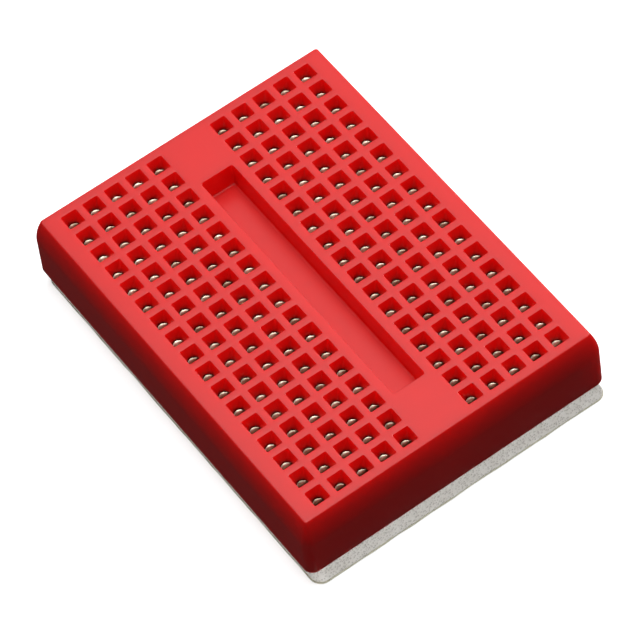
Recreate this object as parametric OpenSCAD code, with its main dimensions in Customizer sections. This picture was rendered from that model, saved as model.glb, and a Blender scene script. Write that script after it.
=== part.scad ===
// Solderless breadboard with 170 tie points: a moulded housing with a grid of
// square wire holes on each side of a centre trough, one sprung metal contact
// clip under every row of five holes, a foam mounting pad and its release liner.
// Millimetres. X runs along the trough, Y across it, Z up. The origin is the
// centre of the footprint, on the surface that the board lies on.

/* [Hole grid] */
// Distance between neighbouring holes
pitch = 2.54; // [2.54:0.01:2.6]
// Rows of holes along the board
rows = 17; // [5:1:17]
// Holes joined by one contact clip
holes_per_clip = 5; // [3:1:5]
// Distance across the trough between the two innermost holes, in pitches
bridge_pitches = 3; // [3:1:4]
// Side of a hole at the top face
hole_mouth = 1.75; // [1.5:0.05:1.9]
// Side of a hole at the bottom of its funnel
hole_throat = 1.2; // [1:0.02:1.6]
// Depth of the funnel
funnel_depth = 1.2; // [0.8:0.05:1.3]

/* [Housing] */
// Length of the housing at its base
body_len = 46; // [46:0.5:60]
// Width of the housing at its base
body_wid = 35; // [35:0.5:45]
// Height of the housing without the pad
body_high = 7.6; // [7:0.1:9]
// Height of the curved band below the top face
bevel_high = 3.2; // [1:0.1:4]
// How far that band leans in
bevel_in = 0.78; // [0:0.02:1]
// How quickly that band turns upright: 1 is a flat slope
bevel_curve = 1.7; // [1:0.1:2.5]
// Moulding draft of the walls under the band
draft_in = 0.07; // [0:0.01:0.15]
// Radius of the upright corners
corner_r = 1; // [0.5:0.1:1.5]
// Thickness of the deck over the clip slots
deck_thick = 1.35; // [1.32:0.01:2]

/* [Trough] */
// Length of the trough between its closed ends
trough_len = 31.6; // [10:0.2:40]
// Width of the trough
trough_wid = 3.7; // [2:0.1:3.8]
// Depth of the trough
trough_deep = 2.9; // [1:0.1:4]

/* [Contact clips] */
// Width of a clip slot, open at the underside
slot_wid = 1.9; // [1.86:0.01:2]
// Free length at each end of a clip in its slot
slot_end_gap = 0.25; // [0.1:0.05:0.3]
// Thickness of the sheet metal
sheet = 0.2; // [0.15:0.01:0.25]
// Width of a clip over its base
clip_wid = 1.8; // [1.7:0.01:1.82]
// Width of one pair of leaves, along the clip
leaf_wid = 1.84; // [1.4:0.02:2]
// Height of the base channel under the leaves
channel_high = 2.4; // [1.5:0.1:3]
// Height at which the leaves pinch a wire
pinch_high = 4.9; // [4.5:0.1:5.2]
// Gap between the leaves where they pinch
pinch_gap = 0.24; // [0.1:0.02:0.5]
// Gap between the flared tips of the leaves
tip_gap = 0.9; // [0.6:0.02:1.3]

/* [Foam pad and release liner] */
// Thickness of the foam pad
pad_thick = 1.75; // [1:0.05:2.5]
// Length and width of the foam pad
pad_size = [46, 34.4]; // [30:0.1:46]
// Distance of the pad's centre from the housing's centre
pad_off = [0.45, 0.1]; // [-0.5:0.05:0.5]
// Radius of the pad's corners
pad_corner_r = 1.2; // [0.5:0.1:3]
// Thickness of the release liner
liner_thick = 0.15; // [0.1:0.01:0.25]
// How far the liner reaches past the pad on every side
liner_over = 0.06; // [0:0.02:0.2]

/* [Hidden] */
$fn = 48;
eps = 0.01;
bevel_steps = 6;
base_z = liner_thick + pad_thick;          // underside of the housing
top_z = base_z + body_high;                // top face
deck_z = top_z - deck_thick;               // underside of the deck
top_in = bevel_in + draft_in;              // how far the top face stands in from the base
inner_y = bridge_pitches * pitch / 2;      // innermost hole from the centre line
bank_y = inner_y + (holes_per_clip - 1) * pitch / 2;   // middle of a row of five
clip_len = (holes_per_clip - 1) * pitch + leaf_wid;
clip_high = body_high - deck_thick - 0.1;  // tips just clear of the deck
flare_mid = [0.3, 0.6];                   // the flare's middle: share of its reach, and of its rise
hole_x = [for (i = [0:rows - 1]) (i - (rows - 1) / 2) * pitch];
hole_y = [for (s = [-1, 1], j = [0:holes_per_clip - 1]) s * (inner_y + j * pitch)];
// The pad stands out at one end, so everything moves by half of that.
pad_past_end = max(0, pad_off[0] + pad_size[0] / 2 + liner_over - body_len / 2);
centre_x = -pad_past_end / 2;

function two(i) = str(i < 10 ? "0" : "", i);
function clip_name(bank, i) = str(bank, "_clip_", two(i));

// A rectangle with rounded corners, centred.
module round_rect(size, r) {
    square([size[0] - 2 * r, size[1]], center = true);
    square([size[0], size[1] - 2 * r], center = true);
    for (x = [-1, 1], y = [-1, 1])
        translate([x * (size[0] / 2 - r), y * (size[1] / 2 - r)]) circle(r);
}

// One side of the housing: how far it stands in from the base, and its height. A
// drafted wall, then a band that curves over towards the top face.
wall_side = concat(
    [[0, base_z]],
    [for (i = [bevel_steps:-1:0])
        let (t = i / bevel_steps)
            [draft_in + bevel_in * pow(1 - t, bevel_curve), top_z - bevel_high * t]]
);

module wall_outline(width)
    polygon(concat(
        [for (p = wall_side) [width / 2 - p[0], p[1]]],
        [for (i = [len(wall_side) - 1:-1:0]) [wall_side[i][0] - width / 2, wall_side[i][1]]]
    ));

// Outer form of the housing: its walls from both sides, and rounded upright corners.
module outer_form()
    intersection() {
        translate([0, 0, base_z]) linear_extrude(body_high) round_rect([body_len, body_wid], corner_r);
        translate([0, body_wid / 2 + 1, 0]) rotate([90, 0, 0])
            linear_extrude(body_wid + 2) wall_outline(body_len);
        translate([-body_len / 2 - 1, 0, 0]) rotate([90, 0, 90])
            linear_extrude(body_len + 2) wall_outline(body_wid);
    }

// Upright section of the funnels: a mouth that narrows to a throat.
module funnel_outline(at)
    translate([at, top_z])
        polygon([
            [-hole_throat / 2, -deck_thick - eps], [hole_throat / 2, -deck_thick - eps],
            [hole_throat / 2, -funnel_depth], [hole_mouth / 2, 0], [hole_mouth / 2, eps],
            [-hole_mouth / 2, eps], [-hole_mouth / 2, 0], [-hole_throat / 2, -funnel_depth]
        ]);

// Every hole at once: grooves across the board, kept only where grooves along it cross them.
module holes()
    intersection() {
        for (x = hole_x)
            translate([0, body_wid / 2, 0]) rotate([90, 0, 0])
                linear_extrude(body_wid) funnel_outline(x);
        for (y = hole_y)
            translate([-body_len / 2, 0, 0]) rotate([90, 0, 90])
                linear_extrude(body_len) funnel_outline(y);
    }

// Slots for the clips, open at the underside.
module clip_slots()
    for (x = hole_x, side = [-1, 1])
        translate([x - slot_wid / 2, side * bank_y - clip_len / 2 - slot_end_gap, base_z - eps])
            cube([slot_wid, clip_len + 2 * slot_end_gap, deck_z - base_z + eps]);

module trough()
    translate([-trough_len / 2, -trough_wid / 2, top_z - trough_deep])
        cube([trough_len, trough_wid, trough_deep + eps]);

module housing()
    color([0.85, 0.12, 0.10])
        translate([centre_x, 0, 0])
            difference() {
                outer_form();
                trough();
                clip_slots();
                holes();
            }

flare_x = pinch_gap / 2 + flare_mid[0] * (tip_gap - pinch_gap) / 2;
flare_z = pinch_high + flare_mid[1] * (clip_high - pinch_high);

// One side of a clip's section, from its middle round the outside of the leaf to
// the flared tip, and back down the inside to the base.
clip_side = [
    [0, 0], [clip_wid / 2, 0], [clip_wid / 2, channel_high],
    [pinch_gap / 2 + sheet, pinch_high], [flare_x + sheet, flare_z],
    [tip_gap / 2 + sheet, clip_high], [tip_gap / 2, clip_high], [flare_x, flare_z],
    [pinch_gap / 2, pinch_high],
    [clip_wid / 2 - sheet, channel_high], [clip_wid / 2 - sheet, sheet], [0, sheet]
];

// Both sides of the section, as one outline.
module clip_outline()
    polygon(concat(
        [for (i = [1:len(clip_side) - 2]) clip_side[i]],
        [for (i = [len(clip_side) - 2:-1:1]) [-clip_side[i][0], clip_side[i][1]]]
    ));

// A five-hole contact clip, stamped and folded from one strip, seen from its middle.
module contact_clip()
    color([0.80, 0.76, 0.70])
        difference() {
            translate([0, clip_len / 2, 0]) rotate([90, 0, 0])
                linear_extrude(clip_len) clip_outline();
            // cuts that part one pair of leaves from the next
            for (j = [1:holes_per_clip - 1])
                translate([-clip_wid, (j - holes_per_clip / 2) * pitch - (pitch - leaf_wid) / 2, channel_high])
                    cube([2 * clip_wid, pitch - leaf_wid, clip_high]);
        }

// The clips under the front holes, on the -Y side of the trough.
module front_clip(i)
    translate([centre_x + hole_x[i - 1], -bank_y, base_z]) contact_clip();

// The clips under the rear holes, on the +Y side of the trough.
module rear_clip(i)
    translate([centre_x + hole_x[i - 1], bank_y, base_z]) contact_clip();

module foam_pad()
    color([0.62, 0.58, 0.55])
        translate([centre_x + pad_off[0], pad_off[1], liner_thick])
            linear_extrude(pad_thick) round_rect(pad_size, pad_corner_r);

module release_liner()
    color([0.72, 0.72, 0.62])
        translate([centre_x + pad_off[0], pad_off[1], 0])
            linear_extrude(liner_thick)
                round_rect([for (s = pad_size) s + 2 * liner_over], pad_corner_r + liner_over);

housing();
foam_pad();
release_liner();
for (i = [1:rows]) {
    front_clip(i);
    rear_clip(i);
}
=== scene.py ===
"""A small solderless breadboard: moulded housing, contact clips, foam pad and release liner.

Everything is in metres in the CAD model's frame: X along the trough, Y across it, Z up, and the
board lies on z = 0. Lengths below are written in millimetres times MM.
"""

import math

import bmesh
import bpy
from mathutils import Matrix, Vector, noise


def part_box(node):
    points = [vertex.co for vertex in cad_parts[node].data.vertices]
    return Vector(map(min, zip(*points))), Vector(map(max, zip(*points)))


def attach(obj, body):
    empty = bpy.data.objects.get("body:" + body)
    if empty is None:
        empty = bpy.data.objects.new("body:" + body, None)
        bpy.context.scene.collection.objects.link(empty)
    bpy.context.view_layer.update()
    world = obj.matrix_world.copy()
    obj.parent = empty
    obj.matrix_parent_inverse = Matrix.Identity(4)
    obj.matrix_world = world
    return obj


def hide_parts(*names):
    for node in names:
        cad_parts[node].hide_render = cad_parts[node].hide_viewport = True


MM = 0.001

# Hole grid
PITCH = 2.54 * MM
ROWS = 17
PER_CLIP = 5
INNER_Y = 3.81 * MM  # innermost hole from the centre line
MOUTH = 1.75 * MM
THROAT_R = 0.6 * MM  # the square funnel turns into this round throat
FUNNEL_DEPTH = 1.2 * MM
DECK = 1.35 * MM

# Housing
TOP_IN = 0.85 * MM  # the top face stands in this far from the base
DRAFT_IN = 0.07 * MM
BEVEL_HIGH = 3.2 * MM
BEVEL_CURVE = 1.7
CORNER_R = 1.0 * MM
TOP_CORNER_R = 0.3 * MM
EDGE_R = 0.16 * MM  # rounding of the top face's outer edge
RIM_R = 0.07 * MM  # rounding of the hole rims
HOLE_CORNER_R = 0.13 * MM

HOLE_STEPS = 6  # steps round each corner of a hole
FUNNEL_RINGS = 7
FUNNEL_ROUNDING = 1.4  # above 1, the square turns into a circle late on its way down
RIM_STEPS = 4  # steps round a rim or a fillet, seen in section
EDGE_STEPS = 5
BEVEL_STEPS = 16
CORNER_STEPS = 8
FOOT_R = 0.08 * MM  # rounding of the housing's lower edge

# Trough
TROUGH_LEN = 31.6 * MM
TROUGH_WID = 3.7 * MM
TROUGH_DEEP = 2.9 * MM
TROUGH_CORNER_R = 0.25 * MM
TROUGH_FILLET = 0.22 * MM
TROUGH_DRAFT = 0.03 * MM

# Clip slots
SLOT_WID = 1.9 * MM
SLOT_END_GAP = 0.25 * MM
LEAF_WID = 1.84 * MM

# Clips
SHEET = 0.2 * MM
CLIP_WID = 1.8 * MM
CHANNEL_HIGH = 2.4 * MM
PINCH_HIGH = 4.9 * MM
PINCH_GAP = 0.24 * MM
TIP_GAP = 0.9 * MM
LEAF_ROUND_FROM = 0.72  # share of the leaf's length after which its tip rounds off
LEAF_TIP_NARROWS = 0.8 * MM
LEAF_CUP_FROM = 0.62  # share of the leaf's length after which it cups round the hole
LEAF_STEPS = 8  # faces across a leaf
LEAF_CUP_CURVE = 0.8
CHANNEL_BEND_R = 0.35 * MM
TIP_CLEAR = 0.1 * MM  # from a leaf's tip to the deck

# Pad and liner: how far each level stands in or out (mm), and its height as a share
PAD_PROFILE = (
    (-1.1, 1.0), (-0.60, 1.0), (-0.48, 0.97), (-0.40, 0.88), (-0.34, 0.74), (-0.28, 0.6),
    (-0.22, 0.45), (-0.15, 0.32), (-0.09, 0.2), (-0.04, 0.1), (0.0, 0.04), (-0.06, 0.0),
    (-0.5, 0.0),
)
LINER_PROFILE = ((-0.3, 1.0), (-0.03, 1.0), (0.0, 0.7), (0.0, 0.3), (-0.03, 0.0), (-0.3, 0.0))
PAD_CORNER_R = 1.2 * MM
LINER_CORNER_R = 1.25 * MM
PAD_STEP = 0.25 * MM
LINER_STEP = 0.4 * MM
CORNER_FREE = 1.4 * MM  # straight sides are divided up to this far from their ends

# Nested rings that close the pad and the liner above and below, as shares of their size
CAP_RINGS = (0.985, 0.75, 0.5, 0.25, 0.04)

# Depth that light soaks into the red plastic
GLOW_DEPTH = 2.2 * MM

# Camera, from the hole grid as it shows in the photograph
CAMERA_AT = Vector((213.785, -116.703, 343.421)) * MM  # from the middle of the top face
CAMERA_AZIMUTH = math.radians(61.317)
CAMERA_ELEVATION = math.radians(55.227)
CAMERA_ROLL = math.radians(-8.768)
LENS_MM = 247.57
SENSOR_MM = 36.0

# Light: name, place and size in metres, watts
SOFTBOXES = (
    ("overhead_softbox", (-0.04, 0.02, 0.60), (0.26, 0.26), 1.35),
    ("far_softbox", (-0.45, 0.25, 0.74), (0.40, 0.40), 0.6),
    ("rear_softbox", (-0.12, 0.64, 0.36), (0.40, 0.30), 3.1),
)
BOUNCE_LIGHTS = (("bounce_near", (0.32, -0.24, 0.07)), ("bounce_far", (-0.32, 0.24, 0.07)))
BOUNCE_SIZE = (0.30, 0.10)
BOUNCE_WATTS = 0.8
SKY_GREYS = ((0.0, 0.05), (0.3, 0.10), (0.8, 0.30))  # height of the direction, and grey
FLOOR_HALF = 3.0
FLOOR_GLOW = 0.62

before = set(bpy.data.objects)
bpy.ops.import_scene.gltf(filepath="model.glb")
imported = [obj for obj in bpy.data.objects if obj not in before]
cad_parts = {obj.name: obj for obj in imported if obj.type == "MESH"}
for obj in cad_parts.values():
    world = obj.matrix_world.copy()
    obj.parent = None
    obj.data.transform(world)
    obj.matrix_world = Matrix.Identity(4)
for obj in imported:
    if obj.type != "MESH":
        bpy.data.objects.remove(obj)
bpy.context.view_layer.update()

lo, hi = (Vector(v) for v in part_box("housing"))
CX, CY = (lo.x + hi.x) / 2, (lo.y + hi.y) / 2
BASE_Z, TOP_Z = lo.z, hi.z
HALF_LEN, HALF_WID = (hi.x - lo.x) / 2, (hi.y - lo.y) / 2
DECK_Z = TOP_Z - DECK
BANK_Y = INNER_Y + (PER_CLIP - 1) * PITCH / 2
CLIP_LEN = (PER_CLIP - 1) * PITCH + LEAF_WID
SLOT_LEN = CLIP_LEN + 2 * SLOT_END_GAP
HOLE_X = [(i - (ROWS - 1) / 2) * PITCH for i in range(ROWS)]
BANK_HOLE_Y = [(j - (PER_CLIP - 1) / 2) * PITCH for j in range(PER_CLIP)]


# ---------------------------------------------------------------- node helpers
def new_material(name):
    m = bpy.data.materials.new(name)
    m.use_nodes = True
    nt = m.node_tree
    nt.nodes.clear()
    out = nt.nodes.new("ShaderNodeOutputMaterial")
    bsdf = nt.nodes.new("ShaderNodeBsdfPrincipled")
    nt.links.new(bsdf.outputs[0], out.inputs[0])
    return m, nt, bsdf


def node(nt, kind, inputs=None, **settings):
    n = nt.nodes.new(kind)
    for key, value in settings.items():
        setattr(n, key, value)
    for key, value in (inputs or {}).items():
        if isinstance(value, bpy.types.NodeSocket):
            nt.links.new(value, n.inputs[key])
        else:
            n.inputs[key].default_value = value
    return n


def noise_tex(nt, vector, scale, detail=2.0, rough=0.5):
    return node(
        nt,
        "ShaderNodeTexNoise",
        {"Vector": vector, "Scale": scale, "Detail": detail, "Roughness": rough},
    ).outputs["Fac"]


def ramp(nt, fac, stops):
    n = node(nt, "ShaderNodeValToRGB", {"Fac": fac})
    el = n.color_ramp.elements
    while len(el) < len(stops):
        el.new(0.5)
    for e, (pos, col) in zip(el, stops):
        e.position = pos
        e.color = (*col, 1.0)
    return n.outputs["Color"]


def mix_color(nt, fac, a, b, blend="MIX"):
    n = node(nt, "ShaderNodeMix", data_type="RGBA", blend_type=blend)
    for index, value in ((0, fac), (6, a), (7, b)):
        if isinstance(value, bpy.types.NodeSocket):
            nt.links.new(value, n.inputs[index])
        elif index == 0:
            n.inputs[0].default_value = value
        else:
            n.inputs[index].default_value = (*value, 1.0)
    return n.outputs[2]


def map_range(nt, value, a, b, c, d):
    return node(
        nt,
        "ShaderNodeMapRange",
        {"Value": value, "From Min": a, "From Max": b, "To Min": c, "To Max": d},
    ).outputs["Result"]


def bump(nt, height, distance, strength=1.0, normal=None):
    inputs = {"Height": height, "Distance": distance, "Strength": strength}
    if normal is not None:
        inputs["Normal"] = normal
    return node(nt, "ShaderNodeBump", inputs).outputs["Normal"]


# ---------------------------------------------------------------- materials
def red_plastic():
    m, nt, bsdf = new_material("red_abs")
    place = node(nt, "ShaderNodeTexCoord").outputs["Object"]
    cloud = noise_tex(nt, place, 140.0, 3.0, 0.55)
    grain = noise_tex(nt, place, 5200.0, 2.0, 0.6)
    colour = ramp(nt, cloud, [(0.30, (0.88, 0.0015, 0.0012)), (0.70, (0.94, 0.0030, 0.0020))])
    nt.links.new(colour, bsdf.inputs["Base Color"])
    rough = map_range(nt, cloud, 0.3, 0.7, 0.36, 0.44)
    nt.links.new(rough, bsdf.inputs["Roughness"])
    n = bump(nt, cloud, 0.00004, 0.25)
    n = bump(nt, grain, 0.000006, 0.5, n)
    nt.links.new(n, bsdf.inputs["Normal"])
    bsdf.inputs["IOR"].default_value = 1.5
    bsdf.inputs["Specular IOR Level"].default_value = 0.7
    bsdf.inputs["Subsurface Weight"].default_value = 1.0
    bsdf.inputs["Subsurface Radius"].default_value = (1.0, 0.04, 0.03)
    bsdf.inputs["Subsurface Scale"].default_value = GLOW_DEPTH
    return m


def sprung_metal():
    m, nt, bsdf = new_material("sprung_metal")
    own = node(nt, "ShaderNodeObjectInfo").outputs["Random"]
    place = node(
        nt,
        "ShaderNodeVectorMath",
        {0: node(nt, "ShaderNodeTexCoord").outputs["Object"], 1: own},
        operation="ADD",
    ).outputs["Vector"]
    stretch = node(
        nt, "ShaderNodeMapping", {"Vector": place, "Scale": (1.0, 14.0, 1.0)}
    ).outputs["Vector"]
    rolled = noise_tex(nt, stretch, 1400.0, 2.0, 0.6)
    blotch = noise_tex(nt, place, 900.0, 2.0, 0.5)
    colour = ramp(nt, blotch, [(0.35, (0.30, 0.22, 0.15)), (0.7, (0.76, 0.65, 0.52))])
    nt.links.new(colour, bsdf.inputs["Base Color"])
    rough = map_range(nt, rolled, 0.3, 0.7, 0.30, 0.48)
    nt.links.new(rough, bsdf.inputs["Roughness"])
    nt.links.new(bump(nt, rolled, 0.000008, 0.5), bsdf.inputs["Normal"])
    bsdf.inputs["Metallic"].default_value = 1.0
    return m


def foam():
    m, nt, bsdf = new_material("foam")
    place = node(nt, "ShaderNodeTexCoord").outputs["Object"]
    cell = node(
        nt, "ShaderNodeTexVoronoi", {"Vector": place, "Scale": 4200.0}, feature="F1"
    ).outputs["Distance"]
    cloud = noise_tex(nt, place, 700.0, 3.0, 0.6)
    base = ramp(nt, cloud, [(0.3, (0.86, 0.82, 0.76)), (0.7, (0.96, 0.93, 0.88))])
    # painted shade: the colour darkens at the bottom of each cell's hollow, where the bump below
    # sinks the foam
    painted_pit_shade = ramp(nt, cell, [(0.10, (0.62, 0.60, 0.58)), (0.5, (1.0, 1.0, 1.0))])
    nt.links.new(mix_color(nt, 1.0, base, painted_pit_shade, "MULTIPLY"), bsdf.inputs["Base Color"])
    bsdf.inputs["Roughness"].default_value = 0.85
    n = bump(nt, cell, 0.00006, 0.8)
    nt.links.new(bump(nt, cloud, 0.00008, 0.5, n), bsdf.inputs["Normal"])
    return m


def liner_paper():
    m, nt, bsdf = new_material("liner_paper")
    place = node(nt, "ShaderNodeTexCoord").outputs["Object"]
    fibre = noise_tex(nt, place, 900.0, 4.0, 0.65)
    colour = ramp(nt, fibre, [(0.3, (0.60, 0.58, 0.44)), (0.7, (0.76, 0.74, 0.60))])
    nt.links.new(colour, bsdf.inputs["Base Color"])
    rough = map_range(nt, fibre, 0.3, 0.7, 0.35, 0.55)
    nt.links.new(rough, bsdf.inputs["Roughness"])
    nt.links.new(bump(nt, fibre, 0.00002, 0.4), bsdf.inputs["Normal"])
    return m


def floor_paint():
    m, nt, bsdf = new_material("pale_floor")
    bsdf.inputs["Base Color"].default_value = (0.93, 0.93, 0.93, 1.0)
    bsdf.inputs["Roughness"].default_value = 0.9
    bsdf.inputs["Specular IOR Level"].default_value = 0.1
    bsdf.inputs["Emission Color"].default_value = (1.0, 1.0, 1.0, 1.0)
    bsdf.inputs["Emission Strength"].default_value = FLOOR_GLOW
    return m


# ---------------------------------------------------------------- mesh helpers
def finish_mesh(bm, name, material, body):
    bmesh.ops.remove_doubles(bm, verts=bm.verts, dist=1e-8)
    bmesh.ops.recalc_face_normals(bm, faces=bm.faces)
    me = bpy.data.meshes.new(name)
    bm.to_mesh(me)
    bm.free()
    me.materials.append(material)
    o = bpy.data.objects.new(name, me)
    bpy.context.scene.collection.objects.link(o)
    if body:
        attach(o, body)
    return o


def smooth_with_weights(o, angle=50.0):
    me = o.data
    me.polygons.foreach_set("use_smooth", [True] * len(me.polygons))
    me.set_sharp_from_angle(angle=math.radians(angle))
    mod = o.modifiers.new("weighted_normals", "WEIGHTED_NORMAL")
    mod.keep_sharp = True
    mod.weight = 100


def smooth_all(o, angle):
    me = o.data
    me.polygons.foreach_set("use_smooth", [True] * len(me.polygons))
    me.set_sharp_from_angle(angle=math.radians(angle))


def close_cap(bm, loop):
    """Closes a level loop with nested rings, because one face of so many corners makes slivers."""
    middle = sum((v.co for v in loop), Vector()) / len(loop)
    outer = [v.co - middle for v in loop]
    for share in CAP_RINGS:
        ring = add_loop(bm, [middle + arm * share for arm in outer])
        bridge(bm, loop, ring)
        loop = ring
    bm.faces.new(loop)


def rounded_loop(cx, cy, hx, hy, r, z, steps, stops_x=(), stops_y=()):
    """Points round a rounded rectangle, anticlockwise from the +X side's low end.

    stops_x and stops_y are extra places along the straight sides, measured from the centre.
    Returns four sides and four corners in order: side +X, corner, side +Y, corner, ...
    """
    sx = sorted(stops_x)
    sy = sorted(stops_y)
    sides = [
        [(cx + hx, cy + y) for y in sy],
        [(cx + x, cy + hy) for x in reversed(sx)],
        [(cx - hx, cy + y) for y in reversed(sy)],
        [(cx + x, cy - hy) for x in sx],
    ]
    centres = [
        (cx + hx - r, cy + hy - r),
        (cx - hx + r, cy + hy - r),
        (cx - hx + r, cy - hy + r),
        (cx + hx - r, cy - hy + r),
    ]
    out = []
    for k in range(4):
        out.append([Vector((x, y, z)) for x, y in sides[k]])
        a0 = math.pi / 2 * k
        arc = []
        for i in range(steps + 1):
            a = a0 + math.pi / 2 * i / steps
            arc.append(
                Vector((centres[k][0] + r * math.cos(a), centres[k][1] + r * math.sin(a), z))
            )
        out.append(arc)
    return out


def flat_list(groups):
    return [p for g in groups for p in g]


def add_loop(bm, points):
    return [bm.verts.new(p) for p in points]


def bridge(bm, a, b):
    n = len(a)
    for i in range(n):
        j = (i + 1) % n
        bm.faces.new((a[i], a[j], b[j], b[i]))


# ---------------------------------------------------------------- housing
def hole_rings(cx, cy):
    """Rings down one hole, from the flat just outside its rim to the deck's underside."""
    rings = []
    half = MOUTH / 2
    slope = math.atan2(FUNNEL_DEPTH, half - THROAT_R)  # wall angle from level
    reach = RIM_R * math.tan(slope / 2)
    for i in range(RIM_STEPS + 1):  # rim rounding: from level to the wall's slope
        a = slope * i / RIM_STEPS
        out = reach - RIM_R * math.sin(a)
        down = RIM_R * (1 - math.cos(a))
        rings.append((half + out, HOLE_CORNER_R + max(0.0, out), TOP_Z - down))
    for i in range(1, FUNNEL_RINGS + 1):  # the square closes to a circle on the way down
        t = i / FUNNEL_RINGS
        h = half + (THROAT_R - half) * t
        r = HOLE_CORNER_R + (THROAT_R - HOLE_CORNER_R) * t**FUNNEL_ROUNDING
        rings.append((h, r, TOP_Z - RIM_R - (FUNNEL_DEPTH - RIM_R) * t))
    rings.append((THROAT_R, THROAT_R, DECK_Z))
    return [
        flat_list(rounded_loop(cx, cy, h, h, min(r, h), z, HOLE_STEPS)) for h, r, z in rings
    ]


def cell_face(bm, corners, ring, flip=False):
    """Fills between four corner vertices and a ring that has equal arcs at its four corners."""
    n = len(ring) // 4
    for k in range(4):
        arc = ring[k * n : (k + 1) * n]
        for a, b in zip(arc, arc[1:]):
            bm.faces.new((corners[k], a, b) if flip else (corners[k], b, a))
        nxt = ring[((k + 1) * n) % len(ring)]
        quad = (corners[k], arc[-1], nxt, corners[(k + 1) % 4])
        bm.faces.new(quad if flip else quad[::-1])


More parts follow.
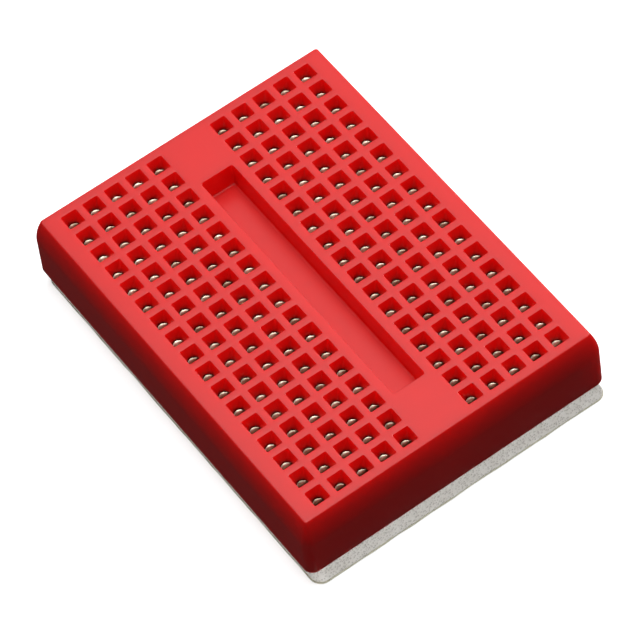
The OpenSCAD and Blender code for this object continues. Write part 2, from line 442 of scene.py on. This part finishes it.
def build_housing(material):
    bm = bmesh.new()
    cell = PITCH / 2
    x_lines = [CX + x - cell for x in HOLE_X] + [CX + HOLE_X[-1] + cell]
    bank_edge = INNER_Y - cell
    y_lines = [bank_edge + PITCH * j for j in range(PER_CLIP + 1)]
    cache = {}

    def vert(x, y, z):
        key = (round(x * 1e7), round(y * 1e7), round(z * 1e7))
        if key not in cache:
            cache[key] = bm.verts.new((x, y, z))
        return cache[key]

    # hole cells: top face, funnel, throat and the slot's ceiling
    for side in (-1, 1):
        for i, x in enumerate(HOLE_X):
            for j, y in enumerate(BANK_HOLE_Y):
                cx, cy = CX + x, CY + side * BANK_Y + y
                x0, x1, y0, y1 = cx - cell, cx + cell, cy - cell, cy + cell
                rings = [add_loop(bm, r) for r in hole_rings(cx, cy)]
                top = [vert(*p, TOP_Z) for p in ((x1, y1), (x0, y1), (x0, y0), (x1, y0))]
                cell_face(bm, top, rings[0])
                for a, b in zip(rings, rings[1:]):
                    bridge(bm, a, b)
                ends = SLOT_LEN / 2
                y0s = CY + side * BANK_Y - ends if j == 0 else y0
                y1s = CY + side * BANK_Y + ends if j == PER_CLIP - 1 else y1
                xs0, xs1 = cx - SLOT_WID / 2, cx + SLOT_WID / 2
                low = [
                    vert(*p, DECK_Z) for p in ((xs1, y1s), (xs0, y1s), (xs0, y0s), (xs1, y0s))
                ]
                cell_face(bm, low, rings[-1], flip=True)
                # slot walls beside this cell
                for xa in (xs0, xs1):
                    bm.faces.new(
                        (
                            vert(xa, y0s, DECK_Z), vert(xa, y1s, DECK_Z),
                            vert(xa, y1s, BASE_Z), vert(xa, y0s, BASE_Z),
                        )
                    )
                for ya, at_end in ((y0s, j == 0), (y1s, j == PER_CLIP - 1)):
                    if at_end:
                        bm.faces.new(
                            (
                                vert(xs0, ya, DECK_Z), vert(xs1, ya, DECK_Z),
                                vert(xs1, ya, BASE_Z), vert(xs0, ya, BASE_Z),
                            )
                        )

    # trough: rim, walls, fillet and floor
    tx = [x - CX for x in x_lines if abs(x - CX) < TROUGH_LEN / 2 - TROUGH_CORNER_R]
    rings = []
    for i in range(RIM_STEPS + 1):
        a = math.pi / 2 * i / RIM_STEPS
        out = RIM_R * (1 - math.sin(a))
        rings.append((out, TROUGH_CORNER_R + out, TOP_Z - RIM_R * (1 - math.cos(a))))
    floor_z = TOP_Z - TROUGH_DEEP
    for i in range(RIM_STEPS + 1):
        a = math.pi / 2 * i / RIM_STEPS
        rings.append(
            (
                -TROUGH_DRAFT - TROUGH_FILLET * (1 - math.cos(a)),
                TROUGH_CORNER_R,
                floor_z + TROUGH_FILLET * (1 - math.sin(a)),
            )
        )
    loops = []
    for out, r, z in rings:
        groups = rounded_loop(
            CX, CY, TROUGH_LEN / 2 + out, TROUGH_WID / 2 + out, r, z, 6, stops_x=tx
        )
        loops.append([add_loop(bm, g) for g in groups])
    for a, b in zip(loops, loops[1:]):
        bridge(bm, flat_list(a), flat_list(b))
    bm.faces.new(flat_list(loops[-1]))

    # top face round the trough
    rim = loops[0]
    edge_hi = [vert(x, CY + bank_edge, TOP_Z) for x in x_lines]
    edge_lo = [vert(x, CY - bank_edge, TOP_Z) for x in x_lines]
    arcs = [rim[1], rim[3], rim[5], rim[7]]  # corners ++, -+, --, +-
    side_hi, side_lo = rim[2], rim[6]
    bm.faces.new(edge_hi + [arcs[0][-1]] + side_hi + [arcs[1][0]])
    bm.faces.new(edge_lo + [arcs[3][0]] + side_lo[::-1] + [arcs[2][-1]])
    bm.faces.new([edge_hi[-1], edge_lo[-1]] + arcs[3] + arcs[0])
    bm.faces.new([edge_lo[0], edge_hi[0]] + arcs[1] + arcs[2])

    # outer walls, from the flat of the top face down to the base
    sx = [x - CX for x in x_lines]
    sy = sorted([-y for y in y_lines] + list(y_lines))
    shoulder = TOP_Z - BEVEL_HIGH
    lean = math.atan2((TOP_IN - DRAFT_IN) * BEVEL_CURVE, BEVEL_HIGH)
    turn = math.pi / 2 - lean
    reach = EDGE_R * math.tan(turn / 2)
    rows = []
    for i in range(EDGE_STEPS + 1):  # rounding of the top edge
        a = turn * i / EDGE_STEPS
        out = -TOP_IN - reach + EDGE_R * math.sin(a)
        rows.append((out, TOP_CORNER_R, TOP_Z - EDGE_R * (1 - math.cos(a))))
    for i in range(2, BEVEL_STEPS + 1):
        t = i / BEVEL_STEPS
        out = -DRAFT_IN - (TOP_IN - DRAFT_IN) * (1 - t) ** BEVEL_CURVE
        rows.append((out, None, TOP_Z - BEVEL_HIGH * t))
    rows.append((-DRAFT_IN / 2, CORNER_R, (shoulder + BASE_Z) / 2))
    rows.append((-FOOT_R * 0.1, CORNER_R, BASE_Z + FOOT_R))
    rows.append((-FOOT_R * 0.4, CORNER_R, BASE_Z + FOOT_R * 0.3))
    rows.append((-FOOT_R, CORNER_R, BASE_Z))
    walls = []
    for out, r, z in rows:
        if r is None:
            t = (TOP_Z - z) / BEVEL_HIGH
            r = TOP_CORNER_R + (CORNER_R - TOP_CORNER_R) * t
        groups = rounded_loop(
            CX, CY, HALF_LEN + out, HALF_WID + out, r, z, CORNER_STEPS, sx, sy
        )
        walls.append([add_loop(bm, g) for g in groups])
    for a, b in zip(walls, walls[1:]):
        bridge(bm, flat_list(a), flat_list(b))

    # margin of the top face between the hole cells and the outer edge
    first = walls[0]
    xl, xh = x_lines[0], x_lines[-1]
    inner = [
        [vert(xh, CY + y, TOP_Z) for y in sy],
        [vert(CX + x, CY + sy[-1], TOP_Z) for x in reversed(sx)],
        [vert(xl, CY + y, TOP_Z) for y in reversed(sy)],
        [vert(CX + x, CY + sy[0], TOP_Z) for x in sx],
    ]
    for k in range(4):
        side, ring = inner[k], first[2 * k]
        for i in range(len(side) - 1):
            bm.faces.new((side[i], ring[i], ring[i + 1], side[i + 1]))
        corner = first[2 * k + 1]
        bm.faces.new([side[-1], ring[-1]] + corner + [first[(2 * k + 2) % 8][0]])

    # underside, with the slots left open
    last = walls[-1]
    ux = sorted(CX + x + s * SLOT_WID / 2 for x in HOLE_X for s in (-1, 1))
    uy = sorted(
        CY + s * BANK_Y + e * SLOT_LEN / 2 for s in (-1, 1) for e in (-1, 1)
    )
    cell_ys = sorted(
        {
            round(CY + s * BANK_Y + y + e * cell, 9)
            for s in (-1, 1) for y in BANK_HOLE_Y for e in (-1, 1)
        }
    )

    def between(y0, y1):
        return [y for y in cell_ys if y0 + 1e-7 < y < y1 - 1e-7]

    for i in range(len(ux) - 1):
        for j in range(len(uy) - 1):
            if i % 2 == 0 and j % 2 == 0:
                continue
            inside = between(uy[j], uy[j + 1]) if j % 2 == 0 else []
            left = [vert(ux[i], y, BASE_Z) for y in inside]
            right = [vert(ux[i + 1], y, BASE_Z) for y in inside]
            bm.faces.new(
                [vert(ux[i], uy[j], BASE_Z)] + left + [vert(ux[i], uy[j + 1], BASE_Z)]
                + [vert(ux[i + 1], uy[j + 1], BASE_Z)] + right[::-1]
                + [vert(ux[i + 1], uy[j], BASE_Z)]
            )
    ys = sorted(set(uy) | set(between(uy[0], uy[1])) | set(between(uy[2], uy[3])))
    low_inner = [
        [vert(ux[-1], y, BASE_Z) for y in ys],
        [vert(x, uy[-1], BASE_Z) for x in reversed(ux)],
        [vert(ux[0], y, BASE_Z) for y in reversed(ys)],
        [vert(x, uy[0], BASE_Z) for x in ux],
    ]
    for k in range(4):
        bm.faces.new(low_inner[k] + last[2 * k][::-1])
        corner = last[2 * k + 1] + [last[(2 * k + 2) % 8][0]]
        bm.faces.new([low_inner[k][-1], last[2 * k][-1]] + corner)

    o = finish_mesh(bm, "housing_shell", material, "board")
    smooth_with_weights(o)
    return o


# ---------------------------------------------------------------- contact clips
def bezier(p0, p1, p2, p3, n):
    out = []
    for i in range(n + 1):
        t = i / n
        s = 1 - t
        out.append(
            (
                s**3 * p0[0] + 3 * s * s * t * p1[0] + 3 * s * t * t * p2[0] + t**3 * p3[0],
                s**3 * p0[1] + 3 * s * s * t * p1[1] + 3 * s * t * t * p2[1] + t**3 * p3[1],
            )
        )
    return out


def leaf_path():
    """Middle line of one leaf, from the channel's top to its flared tip.

    Its points are (x, z) from the middle of the clip's foot.
    """
    foot_x = CLIP_WID / 2 - SHEET / 2
    pinch_x = PINCH_GAP / 2 + SHEET / 2
    tip_x = TIP_GAP / 2 + SHEET / 2
    tip_z = DECK_Z - BASE_Z - TIP_CLEAR
    rise = bezier(
        (foot_x, CHANNEL_HIGH), (foot_x, CHANNEL_HIGH + 0.8 * MM),
        (pinch_x, PINCH_HIGH - 0.9 * MM), (pinch_x, PINCH_HIGH), 10,
    )
    flare = bezier(
        (pinch_x, PINCH_HIGH), (pinch_x, PINCH_HIGH + 0.75 * MM),
        (tip_x - 0.36 * MM, tip_z - 0.16 * MM), (tip_x, tip_z - 0.09 * MM), 12,
    )
    return rise + flare[1:]


def offset_path(path, d):
    out = []
    for i, (x, z) in enumerate(path):
        a = path[max(0, i - 1)]
        b = path[min(len(path) - 1, i + 1)]
        tx, tz = b[0] - a[0], b[1] - a[1]
        n = math.hypot(tx, tz)
        out.append((x + d * tz / n, z - d * tx / n))
    return out


def sweep_leaf(bm, path, width_at, cup_at, y_mid, sign):
    """One leaf along path: flat where it pinches, cupped round the hole's axis at its tip.

    width_at and cup_at take the share of the leaf's length, from 0 at its foot to 1 at its tip.
    """
    inner, outer = offset_path(path, -SHEET / 2), offset_path(path, SHEET / 2)
    last = len(path) - 1
    rows = []
    for i in range(last + 1):
        h, cup = width_at(i / last) / 2, cup_at(i / last)
        row = []
        for line, order in ((inner, 1), (outer, -1)):
            x, z = line[i]
            for k in range(LEAF_STEPS + 1):
                y = h * (2 * k / LEAF_STEPS - 1) * order
                round_x = math.sqrt(max(0.0, x * x - min(abs(y), 0.9 * x) ** 2))
                row.append(bm.verts.new((sign * (x + (round_x - x) * cup), y_mid + y, BASE_Z + z)))
        rows.append(row)
    for a, b in zip(rows, rows[1:]):
        bridge(bm, a, b)
    bm.faces.new(rows[0][::-1])
    bm.faces.new(rows[-1])


def clip_mesh(material):
    bm = bmesh.new()
    # base channel: a U with rounded bends, as long as the clip
    r = CHANNEL_BEND_R
    half = CLIP_WID / 2
    path = [(half - SHEET / 2, CHANNEL_HIGH)]
    for i in range(7):
        a = math.pi / 2 * i / 6
        rr = r - SHEET / 2
        path.append((half - r + rr * math.cos(a), r - rr * math.sin(a)))
    path += [(-x, z) for x, z in reversed(path)]
    inner, outer = offset_path(path, -SHEET / 2), offset_path(path, SHEET / 2)
    ends = []
    for y in (-CLIP_LEN / 2, CLIP_LEN / 2):
        ends.append([bm.verts.new((x, y, BASE_Z + max(z, 0.0))) for x, z in inner + outer[::-1]])
    bridge(bm, ends[0], ends[1])
    bm.faces.new(ends[0])
    bm.faces.new(ends[1][::-1])

    # leaves, each narrowed, rounded and cupped towards its tip
    def width_at(t):
        if t < LEAF_ROUND_FROM:
            return LEAF_WID
        u = (t - LEAF_ROUND_FROM) / (1 - LEAF_ROUND_FROM)
        return LEAF_WID - LEAF_TIP_NARROWS * (1 - math.sqrt(max(0.0, 1 - u * u)))

    def cup_at(t):
        return max(0.0, (t - LEAF_CUP_FROM) / (1 - LEAF_CUP_FROM)) ** LEAF_CUP_CURVE

    for y in BANK_HOLE_Y:
        for sign in (-1, 1):
            sweep_leaf(bm, leaf_path(), width_at, cup_at, y, sign)
    bmesh.ops.recalc_face_normals(bm, faces=bm.faces)
    me = bpy.data.meshes.new("contact_clip")
    bm.to_mesh(me)
    bm.free()
    me.polygons.foreach_set("use_smooth", [True] * len(me.polygons))
    me.set_sharp_from_angle(angle=math.radians(35))
    me.materials.append(material)
    return me


def place_clips(material):
    me = clip_mesh(material)
    for bank, side in (("front", -1), ("rear", 1)):
        for i, x in enumerate(HOLE_X):
            name = f"{bank}_clip_{i + 1:02d}"
            o = bpy.data.objects.new(f"{name}_leaves", me)
            o.location = (CX + x, CY + side * BANK_Y, 0.0)
            bpy.context.scene.collection.objects.link(o)
            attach(o, "board")
            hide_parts(name)


# ---------------------------------------------------------------- pad and liner
def ragged(p, scale, amount, seed):
    q = Vector((p.x, p.y, p.z)) / scale + Vector((seed, seed * 1.7, seed * 0.3))
    return noise.noise(q) * amount


def side_stops(half, step):
    """Places along a straight side, short of its rounded corners."""
    count = int((2 * half - 2 * CORNER_FREE) / step) + 1
    return [-half + CORNER_FREE + step * i for i in range(count)]


def build_pad(material):
    lo_p, hi_p = (Vector(v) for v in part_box("foam_pad"))
    cx, cy = (lo_p.x + hi_p.x) / 2, (lo_p.y + hi_p.y) / 2
    hx, hy = (hi_p.x - lo_p.x) / 2, (hi_p.y - lo_p.y) / 2
    bm = bmesh.new()
    sx, sy = side_stops(hx, PAD_STEP), side_stops(hy, PAD_STEP)
    loops = []
    for out, t in PAD_PROFILE:
        z = lo_p.z + (hi_p.z - lo_p.z) * t
        half_x, half_y = hx + out * MM, hy + out * MM
        pts = flat_list(
            rounded_loop(cx, cy, half_x, half_y, PAD_CORNER_R, z, CORNER_STEPS, sx, sy)
        )
        moved = []
        for p in pts:
            d = Vector((p.x - cx, p.y - cy, 0.0)).normalized()
            cells = abs(ragged(p, 0.6 * MM, 0.10 * MM, 3.1))
            waves = abs(ragged(p, 5.0 * MM, 0.12 * MM, 8.4))
            moved.append(p + d * (-cells - waves))
        loops.append(add_loop(bm, moved))
    for a, b in zip(loops, loops[1:]):
        bridge(bm, a, b)
    close_cap(bm, loops[0])
    close_cap(bm, loops[-1])
    o = finish_mesh(bm, "foam_block", material, "board")
    smooth_all(o, 60)
    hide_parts("foam_pad")
    return o


def build_liner(material):
    lo_l, hi_l = (Vector(v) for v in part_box("release_liner"))
    cx, cy = (lo_l.x + hi_l.x) / 2, (lo_l.y + hi_l.y) / 2
    hx, hy = (hi_l.x - lo_l.x) / 2, (hi_l.y - lo_l.y) / 2
    bm = bmesh.new()
    sx, sy = side_stops(hx, LINER_STEP), side_stops(hy, LINER_STEP)
    loops = []
    for out, t in LINER_PROFILE:
        z = lo_l.z + (hi_l.z - lo_l.z) * t
        half_x, half_y = hx + out * MM, hy + out * MM
        pts = flat_list(
            rounded_loop(cx, cy, half_x, half_y, LINER_CORNER_R, z, CORNER_STEPS, sx, sy)
        )
        moved = []
        for p in pts:
            d = Vector((p.x - cx, p.y - cy, 0.0)).normalized()
            moved.append(p - d * abs(ragged(Vector((p.x, p.y, 0)), 3.0 * MM, 0.12 * MM, 1.3)))
        loops.append(add_loop(bm, moved))
    for a, b in zip(loops, loops[1:]):
        bridge(bm, a, b)
    close_cap(bm, loops[0])
    close_cap(bm, loops[-1])
    o = finish_mesh(bm, "liner_sheet", material, "liner")
    smooth_all(o, 40)
    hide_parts("release_liner")
    return o


# ---------------------------------------------------------------- stage
def add_camera():
    cam = bpy.data.cameras.new("camera")
    cam.sensor_width = SENSOR_MM
    cam.lens = LENS_MM
    cam.clip_start = 0.01
    cam.clip_end = 10.0
    o = bpy.data.objects.new("camera", cam)
    az, el, roll = CAMERA_AZIMUTH, CAMERA_ELEVATION, CAMERA_ROLL
    back = Vector((math.sin(az) * math.cos(el), -math.cos(az) * math.cos(el), math.sin(el)))
    right0 = Vector((math.cos(az), math.sin(az), 0.0))
    up0 = back.cross(right0)
    right = right0 * math.cos(roll) + up0 * math.sin(roll)
    up = back.cross(right)
    turn = Matrix((right, up, back)).transposed().to_4x4()
    o.matrix_world = Matrix.Translation(Vector((CX, CY, TOP_Z)) + CAMERA_AT) @ turn
    bpy.context.scene.collection.objects.link(o)
    bpy.context.scene.camera = o


def add_light(name, at, look, size, watts, colour=(1.0, 1.0, 1.0)):
    data = bpy.data.lights.new(name, "AREA")
    data.shape = "RECTANGLE"
    data.size, data.size_y = size
    data.energy = watts
    data.color = colour
    o = bpy.data.objects.new(name, data)
    o.location = at
    o.rotation_euler = (Vector(look) - Vector(at)).to_track_quat("-Z", "Y").to_euler()
    bpy.context.scene.collection.objects.link(o)
    return o


def add_stage(bounce_on):
    me = bpy.data.meshes.new("floor")
    s = FLOOR_HALF
    me.from_pydata([(-s, -s, 0), (s, -s, 0), (s, s, 0), (-s, s, 0)], [], [(0, 1, 2, 3)])
    me.materials.append(floor_paint())
    o = bpy.data.objects.new("floor", me)
    bpy.context.scene.collection.objects.link(o)
    o.visible_diffuse = False
    o.visible_glossy = False

    world = bpy.data.worlds.new("studio")
    world.use_nodes = True
    nt = world.node_tree
    nt.nodes.clear()
    out = nt.nodes.new("ShaderNodeOutputWorld")
    bg = nt.nodes.new("ShaderNodeBackground")
    nt.links.new(bg.outputs[0], out.inputs[0])
    direction = node(nt, "ShaderNodeTexCoord").outputs["Generated"]
    height = node(nt, "ShaderNodeSeparateXYZ", {0: direction}).outputs["Z"]
    sky = ramp(nt, height, [(up, (grey, grey, grey)) for up, grey in SKY_GREYS])
    nt.links.new(sky, bg.inputs["Color"])
    bg.inputs["Strength"].default_value = 1.0
    bpy.context.scene.world = world

    for name, at, size, watts in SOFTBOXES:
        add_light(name, at, (0, 0, 0), size, watts)
    # The floor sends no light to the object: these replace its bounce on the pad and the liner.
    low = bpy.data.collections.new("floor_bounce_receivers")
    for o in bounce_on:
        low.objects.link(o)
    for name, at in BOUNCE_LIGHTS:
        fill = add_light(name, at, (0, 0, 0.001), BOUNCE_SIZE, BOUNCE_WATTS)
        fill.light_linking.receiver_collection = low
    view = bpy.context.scene.view_settings
    view.view_transform = "Standard"
    view.look = "None"


add_camera()
housing_shell = build_housing(red_plastic())
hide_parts("housing")
place_clips(sprung_metal())
pad = build_pad(foam())
liner = build_liner(liner_paper())
add_stage([pad, liner])
